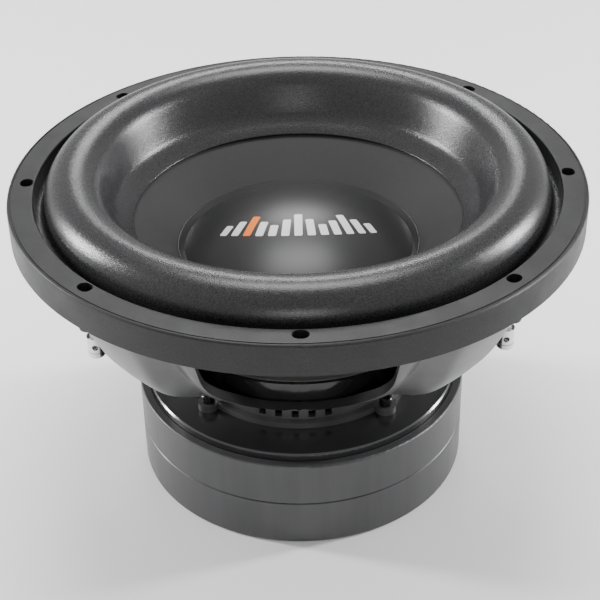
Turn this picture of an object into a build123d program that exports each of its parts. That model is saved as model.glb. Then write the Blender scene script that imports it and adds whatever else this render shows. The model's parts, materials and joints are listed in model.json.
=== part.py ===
"""Twelve inch car subwoofer: cast basket, foam surround, dual voice coil and a booted double magnet.

Millimetres, +Z along the driver's axis towards the listener. The origin is the centre of the bolt
circle on the back face of the mounting flange, so the cone is above it and the motor below it.
"""
from build123d import *
import os
from math import asin, atan2, cos, hypot, radians, sin, tan

# ---- mounting flange and the rubber trim ring over it
trim_r = 162.5
trim_inner_r = 148.0
trim_top_z = 18.0
trim_edge_round = 1.3
trim_inner_round = 1.0
trim_groove_r = 160.2
trim_groove_width = 0.7
flange_r = 158.2
flange_inner_r = 144.4
flange_top_z = 9.0
flange_seat_r = 149.3
flange_seat_z = 7.2
bolt_circle_r = 152.8
bolt_count = 8
bolt_hole_r = 2.75
trim_hole_long = 8.8
trim_hole_short = 7.3

# ---- cone, surround and dust cap
cone_outer_r = 102.5
cone_outer_z = 1.0
cone_neck_r = 38.9
cone_neck_z = -46.5
cone_thickness = 1.2
cone_neck_height = 5.0
coil_collar_height = 4.3
glue_gap = 0.3
roll_r = 16.4
roll_centre_r = 125.5
roll_centre_z = 15.3
surround_thickness = 1.8
surround_lip_r = 93.5
surround_foot_r = 103.3
cap_flange_r = 69.3
cap_r = 66.1
cap_sphere_r = 112.0
cap_thickness = 1.0
cap_seat = 1.1
mark_film = 0.2
mark_heights = [8, 12, 17, 12, 9, 14, 19, 14, 9, 12, 17, 12, 8]
mark_accent = 2
mark_pitch = 5.3
mark_bar_width = 4.6
mark_arc_r = 81.7
mark_low_y = -24.0

# ---- voice coil
former_inner_r = 37.9
former_r = 38.6
former_top_z = -44.0
former_bottom_z = -140.0
coil_mid_r = 39.5
coil_r = 40.4
coil_top_z = -88.0
coil_bottom_z = -138.0

# ---- spiders and the ring between them
ledge_z = -75.0
spider_outer_r = 88.0
spider_roll_outer_r = 78.0
spider_roll_inner_r = 44.5
spider_thickness = 0.7
spider_wave = 2.2
spider_waves = 5
spacer_inner_r = 80.0
spacer_top_z = -61.0

# ---- basket
rim_z = -73.0
arm_turn = -1.0
arm_sections = 21
arm_crest_half = 10.0
arm_flank = 6.0
arm_taper = 4.0
neck_turn = -3.5
neck_r = 66.3
neck_inner_r = 63.0
neck_foot_r = 70.3
foot_thickness = 3.5
vent_pitch = 8.35
vent_width = 4.0
vent_top_z = -97.4
vent_bottom_z = -102.0
foot_screw_r = 73.0
ear_r = 6.0
ear_thickness = 4.5
screw_head_r = 3.8
screw_head_height = 5.0
screw_length = 13.0
screw_r = 2.5
window_top_half = 53.5
window_foot_half = 48.5
window_upright = 12.0
window_corner_r = 36.0

# ---- motor
plate_r = 93.4
plate_top_z = -107.0
plate_thickness = 12.0
plate_bore_r = 41.2
magnet_r = 94.5
magnet_bore_r = 45.0
magnet_height = 19.0
shorting_inner_r = 42.8
yoke_thickness = 9.6
pole_r = 37.2
pole_top_z = -105.0
pole_vent_r = 16.0
mesh_hole_r = 1.4
mesh_pitch = 4.3
boot_r = 98.6
boot_wall = 3.6
boot_top_z = -111.6
boot_seam_z = -139.4
boot_seam_gap = 0.4
boot_bottom_z = -169.1

# ---- push terminals, two on each side
post_x = 122.5
post_y = 11.0
button_r = 5.25
button_bore_r = 3.25
button_bottom_z = -95.0
button_top_z = -80.6
button_floor = 3.0
button_travel = 4.0
wire_hole_r = 1.9
wire_hole_rise = 8.5
post_r = 3.2
post_end_gap = 6.6
spring_r = 2.3
spring_wire_r = 0.28
spring_turns = 3.25
insulator_thickness = 1.8
post_collar_thickness = 1.5
stud_r = 2.5
stud_top_z = -58.5
block_top_z = -66.0
block_inner_x = 89.6
block_outer_x = 131.0
block_half_width = 19.0
shelf_inner_x = 90.2
shelf_outer_x = 102.0
shelf_thickness = 6.0
block_screw_x = 96.0
block_screw_y = 13.5
lug_thickness = 0.8
lug_end_x = 109.0
nut_thickness = 4.0
lead_r = 1.0
lead_end_x = 39.6

magnet_top_z = plate_top_z - plate_thickness
yoke_top_z = magnet_top_z - 2 * magnet_height
yoke_bottom_z = yoke_top_z - yoke_thickness


def write(node, shape):
    """Write one named piece to its own STEP file."""
    shape.label = node
    export_step(shape, f"parts/{node}.step")


def section(points):
    """A closed outline in the (radius, height) half plane."""
    return make_face(Plane.XZ * Polyline(*points, close=True))


def turned(points):
    """A ring or disc turned about the driver's axis."""
    return revolve(section(points), Axis.Z)


def ring(inner, outer, bottom, top):
    """A plain ring with a square section."""
    return turned([(inner, bottom), (outer, bottom), (outer, top), (inner, top)])


def upright(radius, bottom, top):
    """A round bar along Z between two heights."""
    return Pos(0, 0, (bottom + top) / 2) * Cylinder(radius, top - bottom)


def offset_corners(points, distance):
    """The corners of an open path moved a distance to its left."""
    steps = []
    for (x0, y0), (x1, y1) in zip(points, points[1:]):
        length = hypot(x1 - x0, y1 - y0)
        steps.append(((x1 - x0) / length, (y1 - y0) / length))
    moved = [(points[0][0] - distance * steps[0][1], points[0][1] + distance * steps[0][0])]
    for (x, y), (ax, ay), (bx, by) in zip(points[1:], steps, steps[1:]):
        scale = distance / (1 + ax * bx + ay * by)
        moved.append((x - scale * (ay + by), y + scale * (ax + bx)))
    moved.append((points[-1][0] - distance * steps[-1][1], points[-1][1] + distance * steps[-1][0]))
    return moved


def formed_sheet(points, radii, thickness):
    """A thin sheet turned about the axis: its upper face follows the path, its body lies to the left."""
    lower_radii = []
    for (x0, y0), (x1, y1), (x2, y2), radius in zip(points, points[1:], points[2:], radii):
        turns_left = (x1 - x0) * (y2 - y1) - (y1 - y0) * (x2 - x1) > 0
        lower_radii.append(radius - thickness if turns_left else radius + thickness)
    lower = offset_corners(points, thickness)
    upper_path = FilletPolyline(*points, radius=radii)
    lower_path = FilletPolyline(*lower, radius=lower_radii)
    ends = Line(points[0], lower[0]) + Line(points[-1], lower[-1])
    outline = make_face(Plane.XZ * (upper_path + lower_path + ends))
    return revolve(outline, Axis.Z)


def cone_z(radius):
    """Height of the cone's front face at a radius."""
    slope = (cone_outer_z - cone_neck_z) / (cone_outer_r - cone_neck_r)
    return cone_neck_z + slope * (radius - cone_neck_r)


# ------------------------------------------------------------------ front of the driver

def trim_gasket():
    """Rubber ring over the flange, with a skirt, a fine groove and eight oblong holes."""
    body = turned([
        (trim_inner_r, flange_top_z), (flange_r + 0.2, flange_top_z), (flange_r + 0.2, 0), (trim_r, 0),
        (trim_r, trim_top_z), (trim_inner_r, trim_top_z)])
    top_edges = body.edges().filter_by(GeomType.CIRCLE).group_by(Axis.Z)[-1].sort_by(SortBy.RADIUS)
    body = fillet(top_edges[-1], trim_edge_round)
    inner_edge = body.edges().filter_by(GeomType.CIRCLE).group_by(Axis.Z)[-1].sort_by(SortBy.RADIUS)[0]
    body = fillet(inner_edge, trim_inner_round)
    groove = ring(trim_groove_r, trim_groove_r + trim_groove_width, trim_top_z - 0.5, trim_top_z + 1)
    body -= groove
    hole = extrude(SlotOverall(trim_hole_long, trim_hole_short, rotation=90), trim_top_z + 2)
    for place in PolarLocations(bolt_circle_r, bolt_count):
        body -= place * hole
    return body


def surround():
    """One large roll: a flange under the trim, the arch, and a lip that lies on the cone."""
    outer_x = roll_centre_r + roll_r
    crown_z = roll_centre_z + roll_r
    lip_rise = (surround_thickness + glue_gap) / cos(atan2(cone_outer_z - cone_neck_z,
                                                           cone_outer_r - cone_neck_r))
    foot = (surround_foot_r, cone_z(surround_foot_r) + lip_rise)
    lip = (surround_lip_r, cone_z(surround_lip_r) + lip_rise)
    reach = hypot(roll_centre_r - foot[0], roll_centre_z - foot[1])
    flank = atan2(roll_centre_z - foot[1], roll_centre_r - foot[0]) + asin(roll_r / reach)
    shoulder = (foot[0] + (crown_z - foot[1]) / tan(flank), crown_z)
    path = [(149.0, flange_top_z), (outer_x, flange_top_z), (outer_x, crown_z), shoulder, foot, lip]
    bend = roll_r - 0.05
    return formed_sheet(path, [3.0, bend, bend, 6.0], surround_thickness)


def cone():
    """Straight-sided pulp cone with a short neck on the former."""
    outline = [(cone_outer_r, cone_outer_z), (former_r + 1.2, cone_z(former_r + 1.2)),
               (former_r, cone_neck_z - 1), (former_r, cone_neck_z - cone_neck_height),
               (former_r + cone_thickness, cone_neck_z - cone_neck_height),
               (former_r + cone_thickness + 0.6, cone_z(former_r + 1.8) - cone_thickness * 1.3),
               (cone_outer_r + 0.7, cone_outer_z - 1.0)]
    return turned(outline)


def dust_cap():
    """Shallow dome with a narrow flange glued on the cone."""
    edge_z = cone_z(cap_r) + cap_seat
    centre_z = edge_z - (cap_sphere_r ** 2 - cap_r ** 2) ** 0.5
    top_z = centre_z + cap_sphere_r
    inner_r = cap_sphere_r - cap_thickness
    inner_edge_r = cap_r - 0.9
    inner_edge_z = centre_z + (inner_r ** 2 - inner_edge_r ** 2) ** 0.5
    half = asin(cap_r / cap_sphere_r) / 2
    middle = (cap_sphere_r * sin(half), centre_z + cap_sphere_r * cos(half))
    inner_middle = (inner_r * sin(half), centre_z + inner_r * cos(half))
    outer_arc = ThreePointArc((cap_r, edge_z), middle, (0, top_z))
    inner_arc = ThreePointArc((0, top_z - cap_thickness), inner_middle, (inner_edge_r, inner_edge_z))
    rest = Polyline((inner_edge_r, inner_edge_z), (inner_edge_r, cone_z(inner_edge_r) + 0.05),
                    (cap_flange_r, cone_z(cap_flange_r) + 0.05), (cap_flange_r, cone_z(cap_flange_r) + cap_seat),
                    (cap_r, edge_z))
    axis_line = Line((0, top_z), (0, top_z - cap_thickness))
    return revolve(make_face(Plane.XZ * (outer_arc + axis_line + inner_arc + rest)), Axis.Z)


def level_bars():
    """The printed level bars on the dome: the plain ones, and the one accent bar."""
    centre_z = cone_z(cap_r) + cap_seat - (cap_sphere_r ** 2 - cap_r ** 2) ** 0.5
    film = Sphere(cap_sphere_r + mark_film) - Sphere(cap_sphere_r)
    plain = []
    accent = []
    for index, height in enumerate(mark_heights):
        turn = (index - (len(mark_heights) - 1) / 2) * mark_pitch
        bar = extrude(RectangleRounded(mark_bar_width, height, 0.9), 2 * cap_sphere_r)
        bar = Pos(0, height / 2 - mark_arc_r, 0) * bar
        bar = Pos(0, mark_arc_r + mark_low_y, 0) * Rot(0, 0, turn) * bar
        piece = Pos(0, 0, centre_z) * (film & bar)
        (accent if index == mark_accent else plain).append(piece.solid())
    return Compound(plain), Compound(accent)


# ------------------------------------------------------------------ basket

# Outlines of the arms as (radius, height), from the flange down to the floor of the bowl
crest_line = [(149.6, 1), (144.8, -17), (135.9, -37), (128.0, -52), (121.0, -60.8),
              (114.2, -67.2), (105.5, -73), (96.0, -77.2), (86.0, -79.4)]
crest_inside = [(143.6, 1), (138.8, -17), (129.8, -36), (122.2, -50), (115.7, -57.4),
                (109.8, -63), (102.8, -68.1), (95.0, -72.3), (84.0, -75.4)]
band_line = [(145.5, 1), (137.0, -17), (126.0, -37), (116.5, -52), (109.6, -60.8),
             (103.3, -67.2), (96.9, -72.8), (92.0, -76.6), (86.0, -79.4)]
band_inside = [(140.0, 1), (131.5, -17), (120.8, -36), (111.6, -50), (104.8, -57.8),
               (98.8, -63.8), (93.8, -68.6), (89.0, -73.2), (84.0, -75.4)]


def arm_swell(turn, fall):
    """How far an arm stands out of its band: 1 on the crest, 0 beyond the flank, narrower as it falls."""
    crest_half = arm_crest_half - arm_taper * fall
    step = (crest_half + arm_flank - abs(turn)) / arm_flank
    step = min(1, max(0, step))
    return step * step * (3 - 2 * step)


def between(band, crest, turn):
    """The line an arm's face follows at an angle from the arm's middle."""
    points = []
    for index, ((band_x, band_z), (crest_x, crest_z)) in enumerate(zip(band, crest)):
        swell = arm_swell(turn, index / (len(band) - 1))
        points.append((band_x + swell * (crest_x - band_x), band_z + swell * (crest_z - band_z)))
    return points


def arm_outline(turn):
    """Cross-section of the bowl at an angle from an arm's middle."""
    outer = between(band_line, crest_line, turn)
    inner = between(band_inside, crest_inside, turn)
    ends = Line(outer[0], inner[0]) + Line(outer[-1], inner[-1])
    return make_face(Spline(*outer) + Spline(*inner) + ends)


def bowl_quarter():
    """A quarter of the bowl with one arm in its middle, lofted round the axis from its cross-sections."""
    sections = []
    for index in range(arm_sections):
        turn = 90 * (index / (arm_sections - 1) - 0.5)
        plane = Plane(origin=(0, 0, 0), x_dir=(cos(radians(turn)), sin(radians(turn)), 0),
                      z_dir=(sin(radians(turn)), -cos(radians(turn)), 0))
        sections.append(plane * arm_outline(turn))
    return loft(sections)


def window_cutter():
    """A window facing +X: upright under the flange, then slanted to round lower corners."""
    outline = make_face(Polyline((-window_top_half, 0), (-window_top_half, -window_upright),
                                 (-window_foot_half, rim_z), (window_foot_half, rim_z),
                                 (window_top_half, -window_upright), (window_top_half, 0), close=True))
    low = outline.vertices().group_by(Axis.Y)[0]
    outline = fillet(low, window_corner_r)
    return Pos(60, 0, 0) * extrude(Plane.YZ * outline, 120)


def pan():
    """The sloping floor under the spider ledge, and the neck with its foot."""
    return turned([
        (spacer_inner_r, ledge_z), (88.0, ledge_z), (85.0, ledge_z - 5.0), (70.0, -91.5),
        (neck_r, -95.5), (neck_r, plate_top_z + foot_thickness), (neck_foot_r, plate_top_z + foot_thickness),
        (neck_foot_r, plate_top_z), (neck_inner_r, plate_top_z), (neck_inner_r, -92.0), (64.0, -89.5),
        (spacer_inner_r, ledge_z - 2.5)])


def mounting_flange():
    """The stepped front flange: the surround's seat inside, the trim's seat outside."""
    return turned([(flange_inner_r, 0), (flange_r, 0), (flange_r, flange_top_z),
                   (flange_seat_r, flange_top_z), (flange_seat_r, flange_seat_z),
                   (flange_inner_r, flange_seat_z)])


def basket():
    """Cast basket: flange, four arms, four windows, bowl, vented neck, feet and terminal shelves."""
    quarter = bowl_quarter()
    window = window_cutter()
    bowl = quarter
    for index in range(1, 4):
        bowl += Rot(0, 0, 90 * index) * quarter
    for index in range(4):
        bowl -= Rot(0, 0, 90 * index + 45) * window
    body = Rot(0, 0, 45 + arm_turn) * bowl + pan() + mounting_flange()
    body -= ring(50, spider_outer_r + 0.4, ledge_z, rim_z + 4)
    vent_height = vent_top_z - vent_bottom_z
    vent = Pos(neck_r - 2, 0, (vent_top_z + vent_bottom_z) / 2) * Box(14, vent_width, vent_height)
    ear = Pos(foot_screw_r, 0, plate_top_z + ear_thickness / 2) * Cylinder(ear_r, ear_thickness)
    ear_hole = Pos(foot_screw_r, 0, plate_top_z) * Cylinder(screw_r + 0.25, 30)
    for index in range(4):
        middle = 90 * index + neck_turn
        for step in range(-2, 3):
            body -= Rot(0, 0, middle + step * vent_pitch) * vent
        body += Rot(0, 0, middle + 45) * ear
        body -= Rot(0, 0, middle + 45) * ear_hole
    shelf_middle = (shelf_inner_x + shelf_outer_x) / 2, 0, rim_z - shelf_thickness / 2
    shelf = Pos(shelf_middle) * Box(shelf_outer_x - shelf_inner_x, 2 * block_half_width - 4, shelf_thickness)
    shelf = fillet(shelf.edges().filter_by(Axis.Z).sort_by(Axis.X)[-2:], 4)
    shelf_hole = Pos(block_screw_x, 0, rim_z - shelf_thickness / 2) * Cylinder(1.6, shelf_thickness + 2)
    block_room = Pos(block_outer_x - 25, 0, rim_z + 8) * Box(50, 2 * block_half_width + 2, 16)
    for side in (0, 180):
        body += Rot(0, 0, side) * shelf
        body -= Rot(0, 0, side) * block_room
        for y in (-block_screw_y, block_screw_y):
            body -= Rot(0, 0, side) * Pos(0, y, 0) * shelf_hole
    for place in PolarLocations(bolt_circle_r, bolt_count):
        body -= place * Cylinder(bolt_hole_r, 40)
    return body


def basket_screws():
    """Socket screws that hold the basket's feet to the top plate."""
    seat_z = plate_top_z + ear_thickness
    top_z = seat_z + screw_head_height
    screw = upright(screw_head_r, seat_z, top_z) + upright(screw_r, seat_z - screw_length, seat_z)
    screw = chamfer(screw.edges().filter_by(GeomType.CIRCLE).sort_by(Axis.Z)[-1], 0.5)
    socket = Pos(0, 0, top_z - 2) * extrude(RegularPolygon(2.3, 6), 3)
    screw = Pos(foot_screw_r, 0, 0) * (screw - socket)
    return Compound([(Rot(0, 0, 45 + 90 * index + neck_turn) * screw).solid() for index in range(4)])


# ------------------------------------------------------------------ suspension and voice coil

def spider(flange_z):
    """A corrugated cloth disc with a flat outer flange and a collar round the former."""
    top = flange_z + spider_thickness
    collar_r = former_r + glue_gap + spider_thickness
    step = (spider_roll_outer_r - spider_roll_inner_r) / (2 * spider_waves)
    path = [(spider_outer_r, top), (spacer_inner_r - 0.8, top)]
    for index in range(2 * spider_waves + 1):
        side = 1 if index % 2 == 0 else -1
        path.append((spider_roll_outer_r - 0.4 - index * step, top + side * spider_wave / 2))
    path += [(collar_r, top), (collar_r, top + 4)]
    return formed_sheet(path, [1.2] * (len(path) - 2), spider_thickness)


def spider_spacer():
    """Gloss ring between the two spiders."""
    body = ring(spacer_inner_r, spider_outer_r, ledge_z + spider_thickness, spacer_top_z)
    rims = body.edges().filter_by(GeomType.CIRCLE).sort_by(SortBy.RADIUS)[-2:]
    return chamfer(rims, 0.8)


def coil_collar():
    """Glued ring on the former where the leads are soldered."""
    top_z = cone_neck_z - cone_neck_height
    return ring(former_r, former_r + 1.6, top_z - coil_collar_height, top_z)


# ------------------------------------------------------------------ motor

def top_plate():
    """Turned steel plate with the magnetic gap in its bore and four threaded holes."""
    body = ring(plate_bore_r, plate_r, magnet_top_z, plate_top_z)
    rim = body.edges().filter_by(GeomType.CIRCLE).group_by(Axis.Z)[-1].sort_by(SortBy.RADIUS)[-1]
    body = chamfer(rim, 0.8)
    hole = Pos(foot_screw_r, 0, 0) * upright(screw_r + 0.1, plate_top_z + ear_thickness - screw_length - 0.5, 0)
    for index in range(4):
        body -= Rot(0, 0, 45 + 90 * index + neck_turn) * hole
    return body


def magnet(top):
    """One ferrite ring with chamfered rims."""
    body = ring(magnet_bore_r, magnet_r, top - magnet_height, top)
    rims = body.edges().filter_by(GeomType.CIRCLE).sort_by(SortBy.RADIUS)[-2:]
    return chamfer(rims, 1.2)


def yoke():
    """Back plate and vented pole in one piece, with a groove that clears the coil."""
    return turned([
        (pole_vent_r + 1.6, yoke_bottom_z), (plate_r, yoke_bottom_z), (plate_r, yoke_top_z),
        (magnet_bore_r - 1, yoke_top_z), (magnet_bore_r - 1, yoke_top_z - 3), (pole_r, yoke_top_z - 3),
        (pole_r, pole_top_z - 1), (pole_r - 1, pole_top_z), (pole_vent_r + 5, pole_top_z),
        (pole_vent_r, pole_top_z - 8), (pole_vent_r, yoke_bottom_z + 1.4),
        (pole_vent_r + 1.6, yoke_bottom_z + 1.4)])


def vent_mesh():
    """Perforated disc at the back of the pole vent."""
    body = upright(pole_vent_r + 1.5, yoke_bottom_z + 0.2, yoke_bottom_z + 1.4)
    hole = Pos(0, 0, yoke_bottom_z) * Cylinder(mesh_hole_r, 6)
    body -= hole
    for circle in range(1, 4):
        for place in PolarLocations(mesh_pitch * circle, 6 * circle):
            body -= place * hole
    return body


def boot_upper():
    """Rubber boot round the upper half of the motor, with a lip over the magnet."""
    inner = boot_r - boot_wall
    bottom = boot_seam_z + boot_seam_gap / 2
    body = turned([(inner, bottom), (boot_r, bottom), (boot_r, boot_top_z), (plate_r + 0.3, boot_top_z),
                   (plate_r + 0.3, boot_top_z - 2.8), (inner, boot_top_z - 2.8)])
    rims = body.edges().filter_by(GeomType.CIRCLE).sort_by(SortBy.RADIUS)[-2:].sort_by(Axis.Z)
    body = fillet(rims[1], 1.2)
    low_rim = body.edges().filter_by(GeomType.CIRCLE).group_by(Axis.Z)[0].sort_by(SortBy.RADIUS)[-1]
    return chamfer(low_rim, 0.4)


def boot_lower():
    """Rubber boot round the lower half of the motor, turned in under the back plate."""
    inner = boot_r - boot_wall
    top = boot_seam_z - boot_seam_gap / 2
    body = turned([(inner, top), (boot_r, top), (boot_r, boot_bottom_z), (plate_r - 8, boot_bottom_z),
                   (plate_r - 8, yoke_bottom_z), (inner, yoke_bottom_z)])
    rims = body.edges().filter_by(GeomType.CIRCLE).sort_by(SortBy.RADIUS)[-2:].sort_by(Axis.Z)
    body = fillet(rims[0], 2.2)
    high_rim = body.edges().filter_by(GeomType.CIRCLE).group_by(Axis.Z)[-1].sort_by(SortBy.RADIUS)[-1]
    return chamfer(high_rim, 0.4)


# ------------------------------------------------------------------ push terminals

terminal_places = {
    1: (0, -post_y), 2: (0, post_y), 3: (180, -post_y), 4: (180, post_y)}
collar_bottom_z = rim_z - insulator_thickness - post_collar_thickness
floor_top_z = button_bottom_z + button_floor
post_end_z = floor_top_z + post_end_gap


def at_terminal(shape, number):
    """Move a piece drawn beside the +X terminal's axis to its own terminal."""
    side, y = terminal_places[number]
    return Rot(0, 0, side) * Pos(post_x, y, 0) * shape


def wire_hole(height):
    """Cutter for a hole across a terminal, along Y."""
    return Pos(0, 0, height) * Rot(90, 0, 0) * Cylinder(wire_hole_r, 30)


def terminal_post():
    """Fixed post: a stud through the block, a collar, and a shank with the wire hole."""
    body = upright(stud_r, collar_bottom_z, stud_top_z)
    body += upright(5.0, collar_bottom_z, rim_z - insulator_thickness)
    body += upright(post_r, post_end_z, collar_bottom_z)
    return body - wire_hole(button_bottom_z + wire_hole_rise + button_travel)


def terminal_button():
    """Sprung sleeve with a closed end: pushed in, its hole lines up with the post's."""
    body = upright(button_r, button_bottom_z, button_top_z)
    low_rim = body.edges().filter_by(GeomType.CIRCLE).sort_by(Axis.Z)[0]
    body = chamfer(low_rim, 1.3, 1.1)
    body -= upright(button_bore_r, floor_top_z, button_top_z + 1)
    groove_z = button_bottom_z + 4.0
    body -= upright(button_r + 1, groove_z, groove_z + 0.6) - upright(button_r - 0.35, groove_z, groove_z + 0.6)
    return body - wire_hole(button_bottom_z + wire_hole_rise)


def terminal_spring():
    """Compression spring between the button's floor and the post's end."""
    rise = post_end_gap - 0.2 - 2 * spring_wire_r
    path = Helix(pitch=rise / spring_turns, height=rise, radius=spring_r)
    coil = sweep(Plane(origin=path @ 0, z_dir=path % 0) * Circle(spring_wire_r), path=path)
    return Pos(0, 0, floor_top_z + 0.1 + spring_wire_r) * coil


def terminal_block(side):
    """Moulded block on the basket's shelf that carries two posts."""
    width = block_outer_x - block_inner_x
    body = Pos((block_outer_x + block_inner_x) / 2, 0, (rim_z + block_top_z) / 2)
    body = body * Box(width, 2 * block_half_width, block_top_z - rim_z)
    body = fillet(body.edges().filter_by(Axis.Z).sort_by(Axis.X)[-2:], 6)
    body = fillet(body.edges().group_by(Axis.Z)[-1], 1.0)
    for y in (-post_y, post_y):
        body -= Pos(post_x, y, 0) * upright(stud_r, rim_z - 1, block_top_z + 1)
    for y in (-block_screw_y, block_screw_y):
        body -= Pos(block_screw_x, y, 0) * upright(1.7, rim_z - 1, block_top_z + 1)
    return Rot(0, 0, side) * body


def block_screws():
    """Pan head screws that hold the blocks to the basket's shelves."""
    screw = upright(1.5, rim_z - 5.5, block_top_z) + upright(3.0, block_top_z, block_top_z + 2.2)
    slot = Pos(0, 0, block_top_z + 2) * Box(4.4, 0.8, 1.2)
    screw = screw - slot - Rot(0, 0, 90) * slot
    return Compound([(Rot(0, 0, side) * Pos(block_screw_x, y, 0) * screw).solid()
                     for side in (0, 180) for y in (-block_screw_y, block_screw_y)])


def insulator():
    """Coloured washer between a post's collar and the block."""
    return upright(6.2, rim_z - insulator_thickness, rim_z) - upright(stud_r, rim_z - 3, rim_z + 1)


def solder_lug():
    """Ring tag under the nut, bent up at its end to take a lead."""
    reach = post_x - lug_end_x
    body = upright(4.6, block_top_z, block_top_z + lug_thickness)
    body += Pos(-reach / 2, 0, block_top_z + lug_thickness / 2) * Box(reach, 5, lug_thickness)
    body += Pos(lug_thickness / 2 - reach, 0, block_top_z + 3.2) * Box(lug_thickness, 5, 6.4)
    return body - upright(stud_r, block_top_z - 1, block_top_z + 3)


def stud_nut():
    """Hexagon nut on a post's stud."""
    bottom = block_top_z + lug_thickness
    body = Pos(0, 0, bottom) * extrude(RegularPolygon(4.0, 6, major_radius=False), nut_thickness)
    return body - upright(stud_r, bottom - 1, bottom + nut_thickness + 1)


def tinsel_lead(number):
    """Flexible lead from a solder lug over the spider to the collar on the former."""
    side, y = terminal_places[number]
    route = [(lug_end_x - 0.25, -62.0), (100.0, -60.6), (91.0, -56.8), (81.0, -54.2),
             (70.0, -53.9), (59.0, -55.0), (49.0, -55.3), (lead_end_x, -53.6)]
    radii = []
    for (x0, z0), (x1, z1), (x2, z2) in zip(route, route[1:], route[2:]):
        runs = hypot(x1 - x0, z1 - z0), hypot(x2 - x1, z2 - z1)
        turn = Vector(x1 - x0, z1 - z0).get_angle(Vector(x2 - x1, z2 - z1))
        radii.append(0.45 * min(runs) / tan(radians(turn / 2)))
    path = Plane.XZ * FilletPolyline(*route, radius=radii)
    tube = sweep(Plane(origin=path @ 0, z_dir=path % 0) * Circle(lead_r), path=path)
    return Rot(0, 0, side) * Pos(0, y, 0) * tube


def main():
    os.makedirs("parts", exist_ok=True)
    write("trim_gasket", trim_gasket())
    write("surround", surround())
    write("cone", cone())
    write("dust_cap", dust_cap())
    plain_bars, accent_bar = level_bars()
    write("cap_bars", plain_bars)
    write("cap_accent_bar", accent_bar)
    write("coil_former", ring(former_inner_r, former_r, former_bottom_z, former_top_z))
    write("coil_inner_winding", ring(former_r, coil_mid_r, coil_bottom_z, coil_top_z))
    write("coil_outer_winding", ring(coil_mid_r, coil_r, coil_bottom_z, coil_top_z))
    write("coil_collar", coil_collar())
    write("spider_upper", spider(spacer_top_z))
    write("spider_lower", spider(ledge_z))
    write("spider_spacer", spider_spacer())
    write("basket", basket())
    write("basket_screws", basket_screws())
    write("top_plate", top_plate())
    write("magnet_upper", magnet(magnet_top_z))
    write("magnet_lower", magnet(magnet_top_z - magnet_height))
    write("back_plate_and_pole", yoke())
    write("shorting_ring", ring(shorting_inner_r, magnet_bore_r - 0.2, magnet_top_z - magnet_height,
                                magnet_top_z - 0.5))
    write("vent_mesh", vent_mesh())
    write("boot_upper", boot_upper())
    write("boot_lower", boot_lower())
    write("terminal_block_right", terminal_block(0))
    write("terminal_block_left", terminal_block(180))
    write("block_screws", block_screws())
    write("insulators_red", Compound([at_terminal(insulator(), n).solid() for n in (1, 4)]))
    write("insulators_black", Compound([at_terminal(insulator(), n).solid() for n in (2, 3)]))
    write("solder_lugs", Compound([at_terminal(solder_lug(), n).solid() for n in terminal_places]))
    write("stud_nuts", Compound([at_terminal(stud_nut(), n).solid() for n in terminal_places]))
    for number in terminal_places:
        write(f"terminal_post_{number}", at_terminal(terminal_post(), number))
        write(f"terminal_button_{number}", at_terminal(terminal_button(), number))
        write(f"terminal_spring_{number}", at_terminal(terminal_spring(), number))
        write(f"tinsel_lead_{number}", tinsel_lead(number))


main()
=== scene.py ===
import bpy
import json
import math
from mathutils import Matrix, Vector
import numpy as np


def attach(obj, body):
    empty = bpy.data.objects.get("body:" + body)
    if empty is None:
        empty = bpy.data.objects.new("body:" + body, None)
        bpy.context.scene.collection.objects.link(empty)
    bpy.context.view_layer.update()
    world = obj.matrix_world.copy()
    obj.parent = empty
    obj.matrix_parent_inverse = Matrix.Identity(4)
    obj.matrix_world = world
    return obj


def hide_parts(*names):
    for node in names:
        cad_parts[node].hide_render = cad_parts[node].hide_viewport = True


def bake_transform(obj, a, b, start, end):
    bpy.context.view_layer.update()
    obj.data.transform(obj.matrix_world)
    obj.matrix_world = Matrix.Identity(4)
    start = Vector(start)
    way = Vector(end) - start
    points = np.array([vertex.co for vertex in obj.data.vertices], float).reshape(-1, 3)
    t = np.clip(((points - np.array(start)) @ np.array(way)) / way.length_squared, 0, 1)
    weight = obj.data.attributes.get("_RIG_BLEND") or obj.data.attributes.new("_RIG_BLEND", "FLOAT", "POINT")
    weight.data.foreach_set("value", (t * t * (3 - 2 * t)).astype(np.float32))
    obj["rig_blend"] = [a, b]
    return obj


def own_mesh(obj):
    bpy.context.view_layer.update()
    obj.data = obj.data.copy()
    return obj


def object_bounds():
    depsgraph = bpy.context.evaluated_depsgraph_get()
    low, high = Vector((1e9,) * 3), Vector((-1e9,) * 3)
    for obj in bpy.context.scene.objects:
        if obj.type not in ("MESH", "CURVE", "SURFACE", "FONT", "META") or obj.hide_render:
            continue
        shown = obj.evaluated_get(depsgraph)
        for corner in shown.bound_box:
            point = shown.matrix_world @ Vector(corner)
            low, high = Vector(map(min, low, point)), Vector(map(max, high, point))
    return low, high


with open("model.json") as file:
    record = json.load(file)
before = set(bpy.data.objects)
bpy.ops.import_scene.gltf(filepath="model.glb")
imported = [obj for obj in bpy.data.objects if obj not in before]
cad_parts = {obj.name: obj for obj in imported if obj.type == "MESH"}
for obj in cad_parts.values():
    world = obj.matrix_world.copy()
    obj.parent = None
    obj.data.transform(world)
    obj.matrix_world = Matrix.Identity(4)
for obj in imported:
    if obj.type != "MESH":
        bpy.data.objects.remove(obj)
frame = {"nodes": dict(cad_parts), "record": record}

cadLow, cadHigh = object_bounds()
nodes = frame["nodes"]
mm = 0.001
restZ = cadLow.z  # the foot of the magnet boot


def clearSelection():
    if bpy.context.object and bpy.context.object.mode != 'OBJECT':
        bpy.ops.object.mode_set(mode='OBJECT')
    bpy.ops.object.select_all(action='DESELECT')


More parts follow.
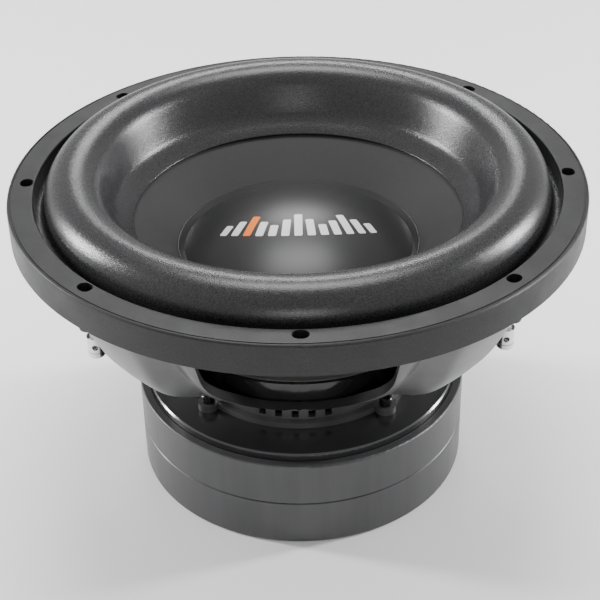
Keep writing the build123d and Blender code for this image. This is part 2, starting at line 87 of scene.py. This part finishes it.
def finishMesh(piece, smoothAngle=35):
    # put the place into the mesh, tidy it and smooth it
    clearSelection()
    piece.select_set(True)
    bpy.context.view_layer.objects.active = piece
    bpy.ops.object.transform_apply(location=True, rotation=True, scale=True)
    bpy.ops.object.mode_set(mode='EDIT')
    bpy.ops.mesh.select_all(action='SELECT')
    bpy.ops.mesh.remove_doubles(threshold=0.000002)
    bpy.ops.mesh.normals_make_consistent(inside=False)
    bpy.ops.object.mode_set(mode='OBJECT')
    bpy.ops.object.shade_smooth_by_angle(angle=math.radians(smoothAngle))
    return piece


def spunSheet(name, profile, segments=192):
    # a circle drawn out step by step along a profile of (radius, height) in mm
    clearSelection()
    radius, height = profile[0]
    bpy.ops.mesh.primitive_circle_add(vertices=segments, radius=radius * mm, location=(0, 0, height * mm))
    piece = bpy.context.active_object
    piece.name = name
    bpy.ops.object.transform_apply(location=True, rotation=False, scale=False)
    bpy.ops.object.mode_set(mode='EDIT')
    bpy.ops.mesh.select_all(action='SELECT')
    for (r0, z0), (r1, z1) in zip(profile, profile[1:]):
        bpy.ops.mesh.extrude_region_move(TRANSFORM_OT_translate={"value": (0, 0, (z1 - z0) * mm)})
        grow = r1 / r0
        bpy.ops.transform.resize(value=(grow, grow, 1), center_override=(0, 0, z1 * mm))
    bpy.ops.object.mode_set(mode='OBJECT')
    return piece


def arcPoints(centre, radius, fromAngle, toAngle, count):
    # points on an arc in the (radius, height) plane, angles in degrees
    points = []
    for step in range(count + 1):
        angle = math.radians(fromAngle + (toAngle - fromAngle) * step / count)
        points.append((centre[0] + radius * math.cos(angle), centre[1] + radius * math.sin(angle)))
    return points


def applyModifiers(piece):
    clearSelection()
    piece.select_set(True)
    bpy.context.view_layer.objects.active = piece
    for modifier in list(piece.modifiers):
        bpy.ops.object.modifier_apply(modifier=modifier.name)


def newMaterial(name, colour, roughness, metallic=0.0, specular=0.5):
    material = bpy.data.materials.new(name)
    material.use_nodes = True
    shader = material.node_tree.nodes["Principled BSDF"]
    shader.inputs["Base Color"].default_value = (*colour, 1)
    shader.inputs["Roughness"].default_value = roughness
    shader.inputs["Metallic"].default_value = metallic
    shader.inputs["Specular IOR Level"].default_value = specular
    return material, material.node_tree, shader


def objectCoords(tree, scale=(1, 1, 1)):
    coords = tree.nodes.new("ShaderNodeTexCoord")
    mapping = tree.nodes.new("ShaderNodeMapping")
    mapping.inputs["Scale"].default_value = scale
    tree.links.new(coords.outputs["Object"], mapping.inputs["Vector"])
    return mapping.outputs["Vector"]


def noise(tree, vector, scale, detail=3.0, roughness=0.55):
    node = tree.nodes.new("ShaderNodeTexNoise")
    node.inputs["Scale"].default_value = scale
    node.inputs["Detail"].default_value = detail
    node.inputs["Roughness"].default_value = roughness
    tree.links.new(vector, node.inputs["Vector"])
    return node.outputs["Fac"]


def spread(tree, value, fromLow, fromHigh, toLow, toHigh):
    node = tree.nodes.new("ShaderNodeMapRange")
    node.inputs["From Min"].default_value = fromLow
    node.inputs["From Max"].default_value = fromHigh
    node.inputs["To Min"].default_value = toLow
    node.inputs["To Max"].default_value = toHigh
    tree.links.new(value, node.inputs["Value"])
    return node.outputs["Result"]


def colourRamp(tree, value, stops):
    node = tree.nodes.new("ShaderNodeValToRGB")
    ramp = node.color_ramp
    while len(ramp.elements) < len(stops):
        ramp.elements.new(0.5)
    for element, (place, colour) in zip(ramp.elements, stops):
        element.position = place
        element.color = (*colour, 1)
    tree.links.new(value, node.inputs["Fac"])
    return node.outputs["Color"]


def bump(tree, shader, height, strength, distance, under=None):
    node = tree.nodes.new("ShaderNodeBump")
    node.inputs["Strength"].default_value = strength
    node.inputs["Distance"].default_value = distance
    tree.links.new(height, node.inputs["Height"])
    if under is not None:
        tree.links.new(under, node.inputs["Normal"])
    tree.links.new(node.outputs["Normal"], shader.inputs["Normal"])
    return node.outputs["Normal"]


def axisDistance(tree):
    # distance from the driver's axis, for turned and wound surfaces
    coords = tree.nodes.new("ShaderNodeTexCoord")
    flat = tree.nodes.new("ShaderNodeVectorMath")
    flat.operation = 'MULTIPLY'
    flat.inputs[1].default_value = (1, 1, 0)
    length = tree.nodes.new("ShaderNodeVectorMath")
    length.operation = 'LENGTH'
    tree.links.new(coords.outputs["Object"], flat.inputs[0])
    tree.links.new(flat.outputs["Vector"], length.inputs[0])
    return length.outputs["Value"]


def sineOf(tree, value, turnsPerMetre):
    scaled = tree.nodes.new("ShaderNodeMath")
    scaled.operation = 'MULTIPLY'
    scaled.inputs[1].default_value = turnsPerMetre * 2 * math.pi
    wave = tree.nodes.new("ShaderNodeMath")
    wave.operation = 'SINE'
    tree.links.new(value, scaled.inputs[0])
    tree.links.new(scaled.outputs[0], wave.inputs[0])
    return wave.outputs[0]


def trimRubber():
    look = {"dark": (0.007, 0.007, 0.008), "light": (0.020, 0.020, 0.021), "roughness": 0.46}
    material, tree, shader = newMaterial("trimRubber", look["dark"], look["roughness"], 0.0, 0.36)
    place = objectCoords(tree)
    speck = noise(tree, place, 1400, 2)
    cloud = noise(tree, place, 60, 3)
    tree.links.new(colourRamp(tree, speck, [(0.35, look["dark"]), (0.78, look["light"])]),
                   shader.inputs["Base Color"])
    tree.links.new(spread(tree, cloud, 0.3, 0.7, 0.43, 0.54), shader.inputs["Roughness"])
    fine = bump(tree, shader, speck, 0.22, 0.0002)
    bump(tree, shader, cloud, 0.08, 0.0008, fine)
    return material


def foamSkin():
    look = {"dark": (0.008, 0.008, 0.009), "light": (0.045, 0.045, 0.047), "roughness": 0.24}
    material, tree, shader = newMaterial("foamSkin", look["dark"], look["roughness"])
    place = objectCoords(tree)
    grain = noise(tree, place, 1500, 3, 0.6)
    pore = noise(tree, place, 2600, 1)
    tree.links.new(colourRamp(tree, grain, [(0.38, look["dark"]), (0.72, look["light"])]),
                   shader.inputs["Base Color"])
    tree.links.new(spread(tree, pore, 0.3, 0.7, 0.17, 0.32), shader.inputs["Roughness"])
    fine = bump(tree, shader, pore, 0.4, 0.0001)
    bump(tree, shader, grain, 0.45, 0.0002, fine)
    return material


def conePulp():
    look = {"dark": (0.014, 0.014, 0.015), "light": (0.022, 0.022, 0.023), "roughness": 0.50}
    material, tree, shader = newMaterial("conePulp", look["dark"], look["roughness"])
    place = objectCoords(tree)
    fibre = noise(tree, place, 420, 5, 0.65)
    tree.links.new(colourRamp(tree, fibre, [(0.35, look["dark"]), (0.7, look["light"])]),
                   shader.inputs["Base Color"])
    tree.links.new(spread(tree, fibre, 0.3, 0.7, 0.48, 0.58), shader.inputs["Roughness"])
    bump(tree, shader, fibre, 0.10, 0.0002)
    return material


def capDome():
    look = {"colour": (0.014, 0.014, 0.015), "roughness": 0.34}
    material, tree, shader = newMaterial("capDome", look["colour"], look["roughness"])
    place = objectCoords(tree)
    grain = noise(tree, place, 1600, 2)
    tree.links.new(spread(tree, grain, 0.3, 0.7, 0.32, 0.39), shader.inputs["Roughness"])
    tree.links.new(colourRamp(tree, grain, [(0.3, (0.011, 0.011, 0.012)), (0.7, (0.017, 0.017, 0.018))]),
                   shader.inputs["Base Color"])
    bump(tree, shader, grain, 0.06, 0.0001)
    return material


def printInk(name, colour):
    material, tree, shader = newMaterial(name, colour, 0.45)
    place = objectCoords(tree)
    grain = noise(tree, place, 1800, 2)
    low = tuple(0.9 * part for part in colour)
    tree.links.new(colourRamp(tree, grain, [(0.3, low), (0.6, colour)]), shader.inputs["Base Color"])
    bump(tree, shader, grain, 0.05, 0.0001)
    return material


def castPaint():
    look = {"dark": (0.105, 0.105, 0.107), "light": (0.135, 0.135, 0.138), "metallic": 0.6}
    material, tree, shader = newMaterial("castPaint", look["light"], 0.32, look["metallic"])
    place = objectCoords(tree)
    peel = noise(tree, place, 520, 3)
    cloud = noise(tree, place, 35, 3)
    tree.links.new(colourRamp(tree, cloud, [(0.3, look["dark"]), (0.7, look["light"])]),
                   shader.inputs["Base Color"])
    tree.links.new(spread(tree, cloud, 0.3, 0.7, 0.28, 0.36), shader.inputs["Roughness"])
    bump(tree, shader, peel, 0.10, 0.0003)
    return material


def bootRubber():
    look = {"dark": (0.042, 0.042, 0.044), "light": (0.056, 0.056, 0.058), "roughness": 0.34}
    material, tree, shader = newMaterial("bootRubber", look["dark"], look["roughness"])
    place = objectCoords(tree)
    skin = noise(tree, place, 700, 3)
    drawn = noise(tree, objectCoords(tree, (160, 160, 12)), 1.0, 4)
    tree.links.new(colourRamp(tree, drawn, [(0.3, look["dark"]), (0.7, look["light"])]),
                   shader.inputs["Base Color"])
    tree.links.new(spread(tree, drawn, 0.3, 0.7, 0.32, 0.42), shader.inputs["Roughness"])
    bump(tree, shader, skin, 0.08, 0.0002)
    return material


def turnedPlate():
    look = {"colour": (0.012, 0.012, 0.013), "groovesPerMetre": 1500}
    material, tree, shader = newMaterial("turnedPlate", look["colour"], 0.16, 0.0, 0.8)
    distance = axisDistance(tree)
    groove = sineOf(tree, distance, look["groovesPerMetre"])
    band = noise(tree, objectCoords(tree), 30, 3)
    tree.links.new(spread(tree, band, 0.3, 0.7, 0.12, 0.24), shader.inputs["Roughness"])
    tree.links.new(colourRamp(tree, band, [(0.3, (0.010, 0.010, 0.011)), (0.7, (0.018, 0.018, 0.019))]),
                   shader.inputs["Base Color"])
    bump(tree, shader, groove, 0.10, 0.00006)
    shader.inputs["Coat Weight"].default_value = 0.5
    shader.inputs["Coat Roughness"].default_value = 0.12
    return material


def glossMoulding():
    look = {"colour": (0.012, 0.012, 0.013), "roughness": 0.14}
    material, tree, shader = newMaterial("glossMoulding", look["colour"], look["roughness"])
    cloud = noise(tree, objectCoords(tree), 90, 3)
    tree.links.new(spread(tree, cloud, 0.3, 0.7, 0.10, 0.20), shader.inputs["Roughness"])
    tree.links.new(colourRamp(tree, cloud, [(0.3, (0.010, 0.010, 0.010)), (0.7, (0.016, 0.016, 0.017))]),
                   shader.inputs["Base Color"])
    bump(tree, shader, cloud, 0.06, 0.0004)
    return material


def blockMoulding(name="blockMoulding", colour=(0.018, 0.018, 0.018), roughness=0.45):
    material, tree, shader = newMaterial(name, colour, roughness)
    place = objectCoords(tree)
    grain = noise(tree, place, 900, 3)
    tree.links.new(spread(tree, grain, 0.3, 0.7, roughness - 0.05, roughness + 0.08),
                   shader.inputs["Roughness"])
    high = tuple(1.4 * part for part in colour)
    tree.links.new(colourRamp(tree, grain, [(0.3, colour), (0.75, high)]), shader.inputs["Base Color"])
    bump(tree, shader, grain, 0.15, 0.0002)
    return material


def brightMetal(name, colour, roughness, lineScale=(900, 900, 120)):
    material, tree, shader = newMaterial(name, colour, roughness, 1.0)
    lines = noise(tree, objectCoords(tree, lineScale), 1.0, 4)
    tree.links.new(spread(tree, lines, 0.3, 0.7, max(0.03, roughness - 0.04), roughness + 0.06),
                   shader.inputs["Roughness"])
    low = tuple(0.88 * part for part in colour)
    tree.links.new(colourRamp(tree, lines, [(0.3, low), (0.7, colour)]), shader.inputs["Base Color"])
    bump(tree, shader, lines, 0.04, 0.0001)
    return material


def pressedFerrite():
    material, tree, shader = newMaterial("pressedFerrite", (0.05, 0.05, 0.052), 0.6)
    grain = noise(tree, objectCoords(tree), 800, 4)
    tree.links.new(colourRamp(tree, grain, [(0.3, (0.04, 0.04, 0.042)), (0.7, (0.08, 0.08, 0.082))]),
                   shader.inputs["Base Color"])
    bump(tree, shader, grain, 0.3, 0.0003)
    return material


def windingWire():
    look = {"low": (0.28, 0.09, 0.03), "high": (0.60, 0.25, 0.11), "turnsPerMetre": 1900}
    material, tree, shader = newMaterial("windingWire", look["high"], 0.3, 0.9)
    coords = tree.nodes.new("ShaderNodeTexCoord")
    parts = tree.nodes.new("ShaderNodeSeparateXYZ")
    tree.links.new(coords.outputs["Object"], parts.inputs["Vector"])
    turn = sineOf(tree, parts.outputs["Z"], look["turnsPerMetre"])
    tree.links.new(colourRamp(tree, spread(tree, turn, -1, 1, 0, 1),
                              [(0.0, look["low"]), (0.6, look["high"])]), shader.inputs["Base Color"])
    bump(tree, shader, turn, 0.5, 0.0002)
    return material


def spiderCloth():
    look = {"low": (0.018, 0.017, 0.015), "high": (0.060, 0.056, 0.050), "threadsPerMetre": 900}
    material, tree, shader = newMaterial("spiderCloth", look["low"], 0.75)
    coords = tree.nodes.new("ShaderNodeTexCoord")
    parts = tree.nodes.new("ShaderNodeSeparateXYZ")
    tree.links.new(coords.outputs["Object"], parts.inputs["Vector"])
    warp = sineOf(tree, parts.outputs["X"], look["threadsPerMetre"])
    weft = sineOf(tree, parts.outputs["Y"], look["threadsPerMetre"])
    cross = tree.nodes.new("ShaderNodeMath")
    cross.operation = 'MULTIPLY'
    tree.links.new(warp, cross.inputs[0])
    tree.links.new(weft, cross.inputs[1])
    tree.links.new(colourRamp(tree, spread(tree, cross.outputs[0], -1, 1, 0, 1),
                              [(0.2, look["low"]), (0.8, look["high"])]), shader.inputs["Base Color"])
    bump(tree, shader, cross.outputs[0], 0.6, 0.0003)
    shader.inputs["Sheen Weight"].default_value = 0.15
    return material


def leadBraid():
    look = {"low": (0.30, 0.17, 0.08), "high": (0.75, 0.52, 0.32)}
    material, tree, shader = newMaterial("leadBraid", look["high"], 0.35, 0.9)
    strand = noise(tree, objectCoords(tree, (900, 2600, 2600)), 1.0, 2)
    tree.links.new(colourRamp(tree, strand, [(0.3, look["low"]), (0.65, look["high"])]),
                   shader.inputs["Base Color"])
    bump(tree, shader, strand, 0.6, 0.0003)
    return material


print("making materials")
materials = {
    "rubber_trim": trimRubber(), "foam": foamSkin(), "pulp": conePulp(), "cap_plastic": capDome(),
    "print_white": printInk("whiteInk", (0.80, 0.80, 0.80)),
    "print_orange": printInk("orangeInk", (0.92, 0.21, 0.0)),
    "former_aluminium": brightMetal("formerAluminium", (0.72, 0.72, 0.74), 0.25),
    "copper_wire": windingWire(), "cloth": spiderCloth(), "gloss_black": glossMoulding(),
    "basket_paint": castPaint(), "screw_steel": brightMetal("screwSteel", (0.62, 0.62, 0.63), 0.22),
    "screw_black": brightMetal("screwBlack", (0.06, 0.06, 0.062), 0.25),
    "plate_black": turnedPlate(), "ferrite": pressedFerrite(), "boot_rubber": bootRubber(),
    "block_plastic": blockMoulding(),
    "red_plastic": blockMoulding("redMoulding", (0.38, 0.010, 0.012), 0.3),
    "terminal_chrome": brightMetal("terminalChrome", (0.80, 0.80, 0.82), 0.09, (300, 300, 2500)),
    "brass_tag": brightMetal("brassTag", (0.78, 0.60, 0.33), 0.25), "lead_braid": leadBraid()}

slotOfNode = {row["node"]: row["material_slot"] for row in frame["record"]["subparts"]}
for nodeName, nodeObject in nodes.items():
    nodeObject.data.materials.clear()
    nodeObject.data.materials.append(materials[slotOfNode[nodeName]])


def dress(piece, slotName):
    piece.data.materials.clear()
    piece.data.materials.append(materials[slotName])
    return piece


def bendRound(piece, outerRadius, innerRadius):
    # a ring that stays with the frame at its outer edge and follows the cone at its inner edge
    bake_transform(piece, "frame", "cone_assembly", start=(outerRadius * mm, 0, 0), end=(innerRadius * mm, 0, 0))
    share = piece.data.attributes["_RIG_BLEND"]
    for index, vertex in enumerate(piece.data.vertices):
        radius = math.hypot(vertex.co.x, vertex.co.y) / mm
        step = min(1, max(0, (outerRadius - radius) / (outerRadius - innerRadius)))
        share.data[index].value = step * step * (3 - 2 * step)


# the foam surround: flange under the trim, the big roll, and the lip on the cone (mm)
surroundShape = {"flangeR": 148.6, "flangeZ": 9.0, "flangeInnerR": 145.5, "outerR": 141.9, "heelR": 3.0,
                 "centreR": 125.5, "centreZ": 15.3, "rollR": 16.4, "footR": 103.3, "flatR": 98.5,
                 "lipR": 93.4, "seat": 2.6, "thickness": 1.7, "edgeRound": 0.35, "segments": 224,
                 "stretchOuterR": 140.0, "stretchInnerR": 104.0}
coneFace = {"outerR": 102.5, "outerZ": 1.0, "neckR": 38.9, "neckZ": -46.5}


def coneFaceZ(radius):
    # height of the cone's front face at a radius
    slope = (coneFace["outerZ"] - coneFace["neckZ"]) / (coneFace["outerR"] - coneFace["neckR"])
    return coneFace["neckZ"] + (radius - coneFace["neckR"]) * slope


def surroundRoll():
    shape = surroundShape
    footR, lipR = shape["footR"], shape["lipR"]
    footZ = coneFaceZ(footR) + shape["seat"]
    lipZ = coneFaceZ(lipR) + shape["seat"]
    across, down = shape["centreR"] - footR, shape["centreZ"] - footZ
    flank = math.atan2(down, across) + math.asin(shape["rollR"] / math.hypot(across, down))
    heel = (shape["outerR"] + shape["heelR"], shape["flangeZ"] + shape["heelR"])
    profile = [(shape["flangeR"], shape["flangeZ"]), (shape["flangeInnerR"], shape["flangeZ"])]
    profile += arcPoints(heel, shape["heelR"], 270, 180, 5)
    endAngle = 90 + math.degrees(flank)
    profile += arcPoints((shape["centreR"], shape["centreZ"]), shape["rollR"], 0, endAngle, 34)
    lastR, lastZ = profile[-1]
    for step in (0.35, 0.7, 1.0):
        profile.append((lastR + (footR + 0.9 - lastR) * step, lastZ + (footZ + 2.4 - lastZ) * step))
    profile += [(footR + 0.1, footZ + 0.9), (footR - 1.3, footZ - 0.75)]  # the bend on to the cone
    profile += [(shape["flatR"], coneFaceZ(shape["flatR"]) + shape["seat"]), (lipR + 0.5, lipZ + 0.35),
                (lipR, lipZ - 0.2)]
    piece = spunSheet("surround_roll", profile, shape["segments"])
    finishMesh(piece, 80)
    wall = piece.modifiers.new("wall", 'SOLIDIFY')
    wall.thickness = shape["thickness"] * mm
    wall.offset = -1
    soft = piece.modifiers.new("softEdge", 'BEVEL')
    soft.width = shape["edgeRound"] * mm
    soft.segments = 2
    soft.limit_method = 'ANGLE'
    soft.angle_limit = math.radians(50)
    applyModifiers(piece)
    bpy.ops.object.shade_smooth_by_angle(angle=math.radians(50))
    dress(piece, "foam")
    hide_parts("surround")
    bendRound(piece, shape["stretchOuterR"], shape["stretchInnerR"])


print("making the surround")
surroundRoll()


# the two cloth spiders (mm)
spiderShape = {"outerR": 87.6, "flatR": 79.0, "rollOuterR": 78.0, "rollInnerR": 44.5, "waves": 5,
               "wave": 1.15, "pointsPerWave": 12, "collarR": 39.4, "collarRise": 4.0, "thickness": 0.7,
               "segments": 160, "stretchInnerR": 43.0}


def clothSpider(name, flangeZ, node):
    shape = spiderShape
    top = flangeZ + shape["thickness"]
    width = shape["rollInnerR"] - shape["rollOuterR"]
    collarR = shape["collarR"]
    profile = [(shape["outerR"], top), (shape["flatR"], top)]
    steps = shape["waves"] * shape["pointsPerWave"]
    for step in range(1, steps + 1):
        ripple = shape["wave"] * math.sin(2 * math.pi * shape["waves"] * step / steps)
        profile.append((shape["rollOuterR"] + width * step / steps, top + ripple))
    profile += [(collarR + 1.2, top), (collarR + 0.3, top + 0.4), (collarR, top + 1.2),
                (collarR, top + shape["collarRise"])]
    piece = spunSheet(name, profile, shape["segments"])
    finishMesh(piece, 80)
    wall = piece.modifiers.new("wall", 'SOLIDIFY')
    wall.thickness = shape["thickness"] * mm
    wall.offset = -1
    applyModifiers(piece)
    bpy.ops.object.shade_smooth_by_angle(angle=math.radians(60))
    dress(piece, "cloth")
    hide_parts(node)
    bendRound(piece, shape["rollOuterR"], shape["stretchInnerR"])


print("making the spiders")
clothSpider("spider_upper_cloth", -61.0, "spider_upper")
clothSpider("spider_lower_cloth", -75.0, "spider_lower")


# springs in the push terminals, and where the four terminals stand (mm)
springShape = {"radius": 2.3, "wire": 0.28, "low": -91.9, "high": -85.5, "turns": 3.25, "stepsPerTurn": 24,
               "postEndZ": -85.4, "keptWhenPushed": 0.38}
terminalPlaces = {1: (122.5, -11.0), 2: (122.5, 11.0), 3: (-122.5, 11.0), 4: (-122.5, -11.0)}


def coilSpring(number):
    shape = springShape
    x, y = terminalPlaces[number]
    clearSelection()
    bpy.ops.mesh.primitive_circle_add(vertices=8, radius=shape["wire"] * mm,
                                      location=(shape["radius"] * mm, 0, 0),
                                      rotation=(math.radians(90), 0, 0))
    piece = bpy.context.active_object
    piece.name = f"push_spring_{number}"
    bpy.ops.object.transform_apply(location=True, rotation=True, scale=False)
    screw = piece.modifiers.new("helix", 'SCREW')
    screw.angle = 2 * math.pi * shape["turns"]
    screw.screw_offset = (shape["high"] - shape["low"] - 2 * shape["wire"]) * mm
    screw.steps = int(shape["stepsPerTurn"] * shape["turns"])
    screw.render_steps = screw.steps
    applyModifiers(piece)
    bpy.ops.object.mode_set(mode='EDIT')
    bpy.ops.mesh.select_all(action='DESELECT')
    bpy.ops.mesh.select_non_manifold()
    bpy.ops.mesh.edge_face_add()
    bpy.ops.object.mode_set(mode='OBJECT')
    piece.location = (x * mm, y * mm, (shape["low"] + shape["wire"]) * mm)
    finishMesh(piece, 60)
    dress(piece, "screw_steel")
    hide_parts(f"terminal_spring_{number}")
    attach(piece, "frame")
    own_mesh(piece)


print("making the terminal springs")
for number in terminalPlaces:
    coilSpring(number)


# flexible leads from the lugs to the collar on the former (mm)
leadShape = {"route": [(108.75, -62.0), (100.0, -60.6), (91.0, -56.8), (81.0, -54.2), (70.0, -53.9),
                       (59.0, -55.0), (49.0, -55.3), (39.6, -53.6)], "radius": 1.0,
             "stillX": 100.0, "movingX": 44.0, "middleZ": -58.0}


def tinselLead(number):
    shape = leadShape
    x, y = terminalPlaces[number]
    side = 1 if x > 0 else -1
    curve = bpy.data.curves.new(f"lead_{number}_line", 'CURVE')
    curve.dimensions = '3D'
    spline = curve.splines.new('NURBS')
    spline.points.add(len(shape["route"]) - 1)
    for point, (px, pz) in zip(spline.points, shape["route"]):
        point.co = (side * px * mm, y * mm, pz * mm, 1)
    spline.order_u = 3
    spline.use_endpoint_u = True
    spline.resolution_u = 10
    curve.bevel_depth = shape["radius"] * mm
    curve.bevel_resolution = 4
    curve.use_fill_caps = True
    piece = bpy.data.objects.new(f"braided_lead_{number}", curve)
    bpy.context.collection.objects.link(piece)
    clearSelection()
    piece.select_set(True)
    bpy.context.view_layer.objects.active = piece
    bpy.ops.object.convert(target='MESH')
    piece = bpy.context.active_object
    finishMesh(piece, 60)
    dress(piece, "lead_braid")
    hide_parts(f"tinsel_lead_{number}")
    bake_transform(piece, "frame", "cone_assembly",
             start=(side * shape["stillX"] * mm, y * mm, shape["middleZ"] * mm),
             end=(side * shape["movingX"] * mm, y * mm, shape["middleZ"] * mm))


print("making the tinsel leads")
for number in terminalPlaces:
    tinselLead(number)


def capGlueBead():
    bead = {"radius": 69.6, "section": 0.45}
    clearSelection()
    bpy.ops.mesh.primitive_torus_add(major_radius=bead["radius"] * mm, minor_radius=bead["section"] * mm,
                                     major_segments=192, minor_segments=10,
                                     location=(0, 0, (coneFaceZ(bead["radius"]) + 0.35) * mm))
    piece = bpy.context.active_object
    piece.name = "cap_glue_bead"
    finishMesh(piece, 80)
    dress(piece, "cap_plastic")
    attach(piece, "cone_assembly")


print("making the glue bead")
capGlueBead()


print("setting the floor, lights and camera")
stageLook = {"floorSize": 12.0, "floorColour": (0.95, 0.95, 0.95), "worldStrength": 0.68}


def paleFloor():
    clearSelection()
    bpy.ops.mesh.primitive_plane_add(size=stageLook["floorSize"], location=(0, 0, restZ))
    floor = bpy.context.active_object
    floor.name = "pale_floor"
    material, tree, shader = newMaterial("paleFloor", stageLook["floorColour"], 0.8)
    floor.data.materials.append(material)


def softLight(name, place, aim, size, power):
    data = bpy.data.lights.new(name, 'AREA')
    data.shape = 'RECTANGLE'
    data.size, data.size_y = size
    data.energy = power
    light = bpy.data.objects.new(name, data)
    bpy.context.collection.objects.link(light)
    light.location = place
    light.rotation_euler = (Vector(aim) - Vector(place)).to_track_quat('-Z', 'Y').to_euler()


paleFloor()
world = bpy.data.worlds.new("softRoom")
bpy.context.scene.world = world
world.use_nodes = True
background = world.node_tree.nodes["Background"]
background.inputs["Color"].default_value = (1, 1, 1, 1)
background.inputs["Strength"].default_value = stageLook["worldStrength"]
softLight("topBox", (0, 0.40, 1.6), (0, 0, 0), (0.9, 0.6), 19)
softLight("backBox", (0, 1.5, 1.15), (0, 0, 0), (0.7, 0.22), 11)
softLight("leftBox", (-1.3, 0.3, 0.4), (0, 0, 0), (0.16, 0.5), 24)
softLight("rightBox", (1.3, 0.3, 0.4), (0, 0, 0), (0.16, 0.5), 22)
softLight("frontBox", (0, -1.6, 0.3), (0, 0, 0.02), (0.4, 0.10), 3.0)

cameraLook = {"place": (0.00004, -0.72082, 0.42244), "elevation": 34.109, "roll": -1.19, "lens": 87.58}


def photoCamera():
    data = bpy.data.cameras.new("camera")
    data.lens = cameraLook["lens"]
    data.sensor_width = 36
    camera = bpy.data.objects.new("camera", data)
    bpy.context.collection.objects.link(camera)
    tilt = Matrix.Rotation(math.radians(90 - cameraLook["elevation"]), 4, 'X')
    roll = Matrix.Rotation(math.radians(cameraLook["roll"]), 4, 'Z')
    camera.matrix_world = Matrix.Translation(cameraLook["place"]) @ tilt @ roll
    bpy.context.scene.camera = camera


photoCamera()
bpy.context.view_layer.update()
print("finished")
